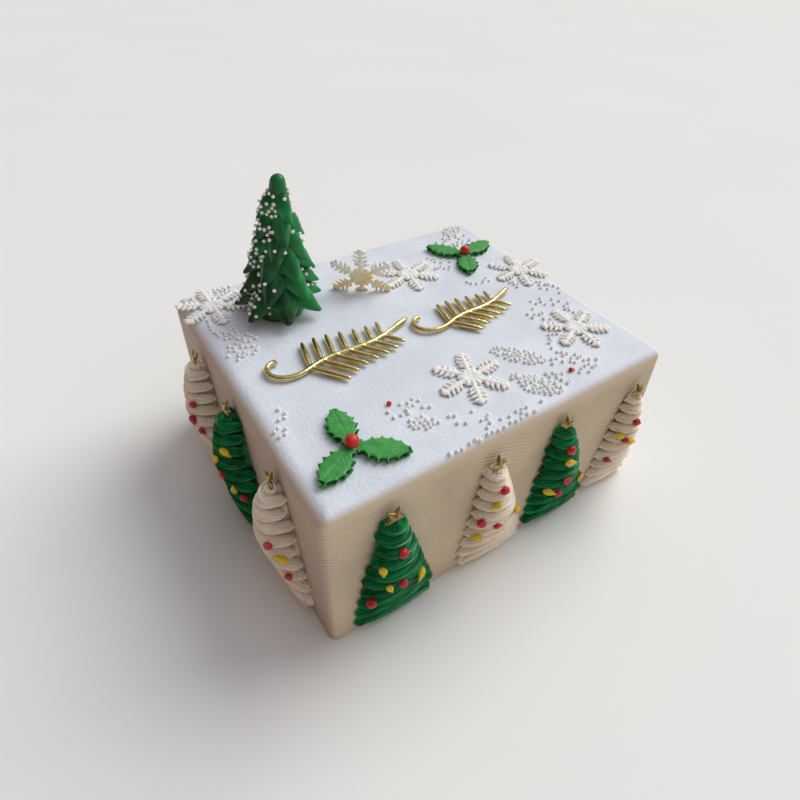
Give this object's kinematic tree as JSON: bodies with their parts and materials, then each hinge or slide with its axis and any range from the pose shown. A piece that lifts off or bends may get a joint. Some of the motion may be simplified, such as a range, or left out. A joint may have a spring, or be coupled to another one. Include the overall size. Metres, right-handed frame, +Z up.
{
  "type": "new year cake",
  "caption": "Iced block cake with piped trees and gold stars round its sides, and a standing tree, holly, snowflakes, pearls and gold sprigs on top.",
  "frame": {"origin": "middle of the underside, where the cake stands on its board or plate", "axes": "+X along the longer side, +Y from the four-tree front side to the back, +Z up"},
  "size_m": [0.2616, 0.2256, 0.1831],
  "materials": {
    "white_icing": "matt white icing, combed on the sides",
    "piped_cream": "soft satin buttercream, off-white",
    "piped_green": "satin buttercream, dark green",
    "fir_green": "satin sugar paste, dark green",
    "holly_green": "matt sugar paste, bright green",
    "berry_red": "smooth red sugar paste",
    "sugar_paste": "matt ivory sugar paste",
    "gold": "glossy edible gold"
  },
  "bodies": {
    "root": {"cake": "white_icing", "tree_front_1": "piped_green", "tree_front_2": "piped_cream", "tree_front_3": "piped_green", "tree_front_4": "piped_cream", "tree_right_1": "piped_green", "tree_right_2": "piped_cream", "tree_right_3": "piped_green", "tree_back_1": "piped_cream", "tree_back_2": "piped_green", "tree_back_3": "piped_cream", "tree_back_4": "piped_green", "tree_left_1": "piped_cream", "tree_left_2": "piped_green", "tree_left_3": "piped_cream", "star_front_1": "gold", "star_front_2": "gold", "star_front_3": "gold", "star_front_4": "gold", "star_right_1": "gold", "star_right_2": "gold", "star_right_3": "gold", "star_back_1": "gold", "star_back_2": "gold", "star_back_3": "gold", "star_back_4": "gold", "star_left_1": "gold", "star_left_2": "gold", "star_left_3": "gold", "standing_tree": "fir_green", "holly_1_leaf_1": "holly_green", "holly_1_leaf_2": "holly_green", "holly_1_leaf_3": "holly_green", "holly_1_berry": "berry_red", "holly_2_leaf_1": "holly_green", "holly_2_leaf_2": "holly_green", "holly_2_leaf_3": "holly_green", "holly_2_berry": "berry_red", "snowflake_1": "sugar_paste", "snowflake_2": "sugar_paste", "snowflake_3": "sugar_paste", "snowflake_4": "sugar_paste", "snowflake_5": "sugar_paste", "snowflake_standing": "sugar_paste", "gold_sprig_1": "gold", "gold_sprig_2": "gold"}
  },
  "joints": []
}
